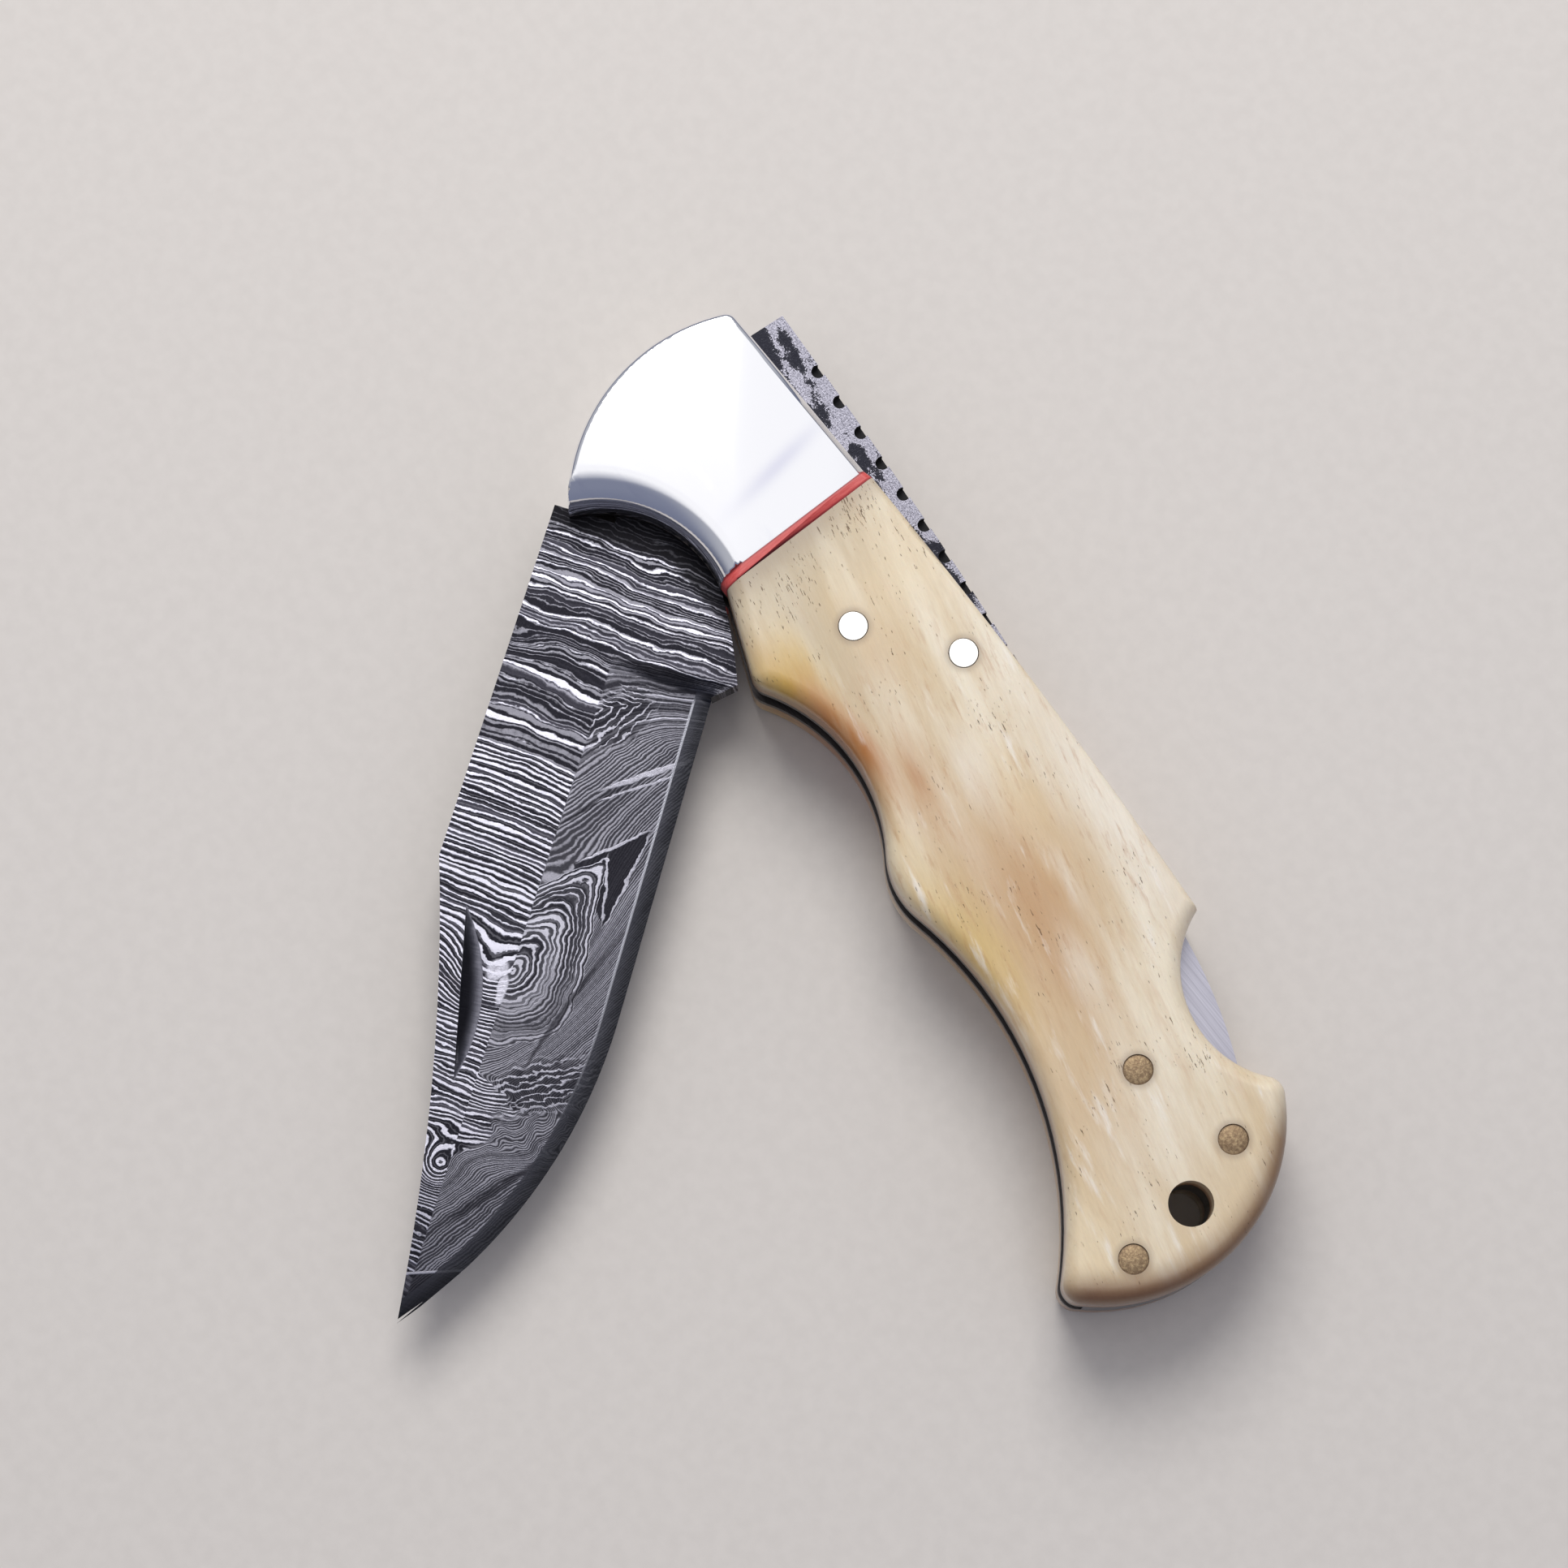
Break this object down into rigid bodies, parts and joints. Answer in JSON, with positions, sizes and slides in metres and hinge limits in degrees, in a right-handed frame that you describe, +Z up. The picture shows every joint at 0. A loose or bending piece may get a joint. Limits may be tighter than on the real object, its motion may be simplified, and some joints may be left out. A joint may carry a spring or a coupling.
{
  "type": "lockback folding pocket knife",
  "caption": "Half-open lockback folding pocket knife: clip-point blade, rocker lock bar and leaf spring between lined bone scales with polished bolsters.",
  "frame": {"origin": "on the blade pivot's axis, at the flat face that the knife lies on", "axes": "+X along the handle to its butt, +Y to the handle's back, +Z up through the handle's thickness"},
  "size_m": [0.0997, 0.0865, 0.014],
  "materials": {
    "polished_steel": "mirror polished",
    "bone": "polished, with pores and honey-coloured shading",
    "red_fibre": "satin",
    "liner_steel": "fine ground",
    "bright_pin": "polished flush",
    "tarnished_brass": "tarnished, speckled",
    "bronze": "satin",
    "spring_steel": "satin",
    "pattern_welded_steel": "etched in light and dark layers"
  },
  "bodies": {
    "handle": {"pivot_pin": "polished_steel", "bolster_front": "polished_steel", "bolster_rivets_front": "polished_steel", "bolster_back": "polished_steel", "bolster_rivets_back": "polished_steel", "scale_front": "bone", "scale_back": "bone", "spacer_front": "red_fibre", "spacer_back": "red_fibre", "liner_front": "liner_steel", "liner_back": "liner_steel", "lock_bar_pin": "bright_pin", "scale_rivet_front": "bright_pin", "scale_rivet_back": "bright_pin", "spring_pin": "tarnished_brass", "butt_pin_upper": "tarnished_brass", "butt_pin_lower": "tarnished_brass", "washer_front": "bronze", "washer_back": "bronze", "back_spring": "spring_steel", "butt_block": "spring_steel"},
    "blade": {"blade": "pattern_welded_steel"},
    "lock_bar": {"lock_bar": "pattern_welded_steel"}
  },
  "joints": [
    {"name": "blade_pivot", "type": "hinge", "parent": "handle", "child": "blade", "pos_m": [0, 0, 0.007], "axis": [0, 0, 1], "range_deg": [-124.7, 44.5]},
    {"name": "lock_bar_rock", "type": "hinge", "parent": "handle", "child": "lock_bar", "pos_m": [0.0301, 0.0076, 0.007], "axis": [0, 0, 1], "range_deg": [-2, 0], "stiffness_Nm_per_rad": 0.5, "springref_deg": 17.19, "deforming": ["back_spring"]}
  ]
}
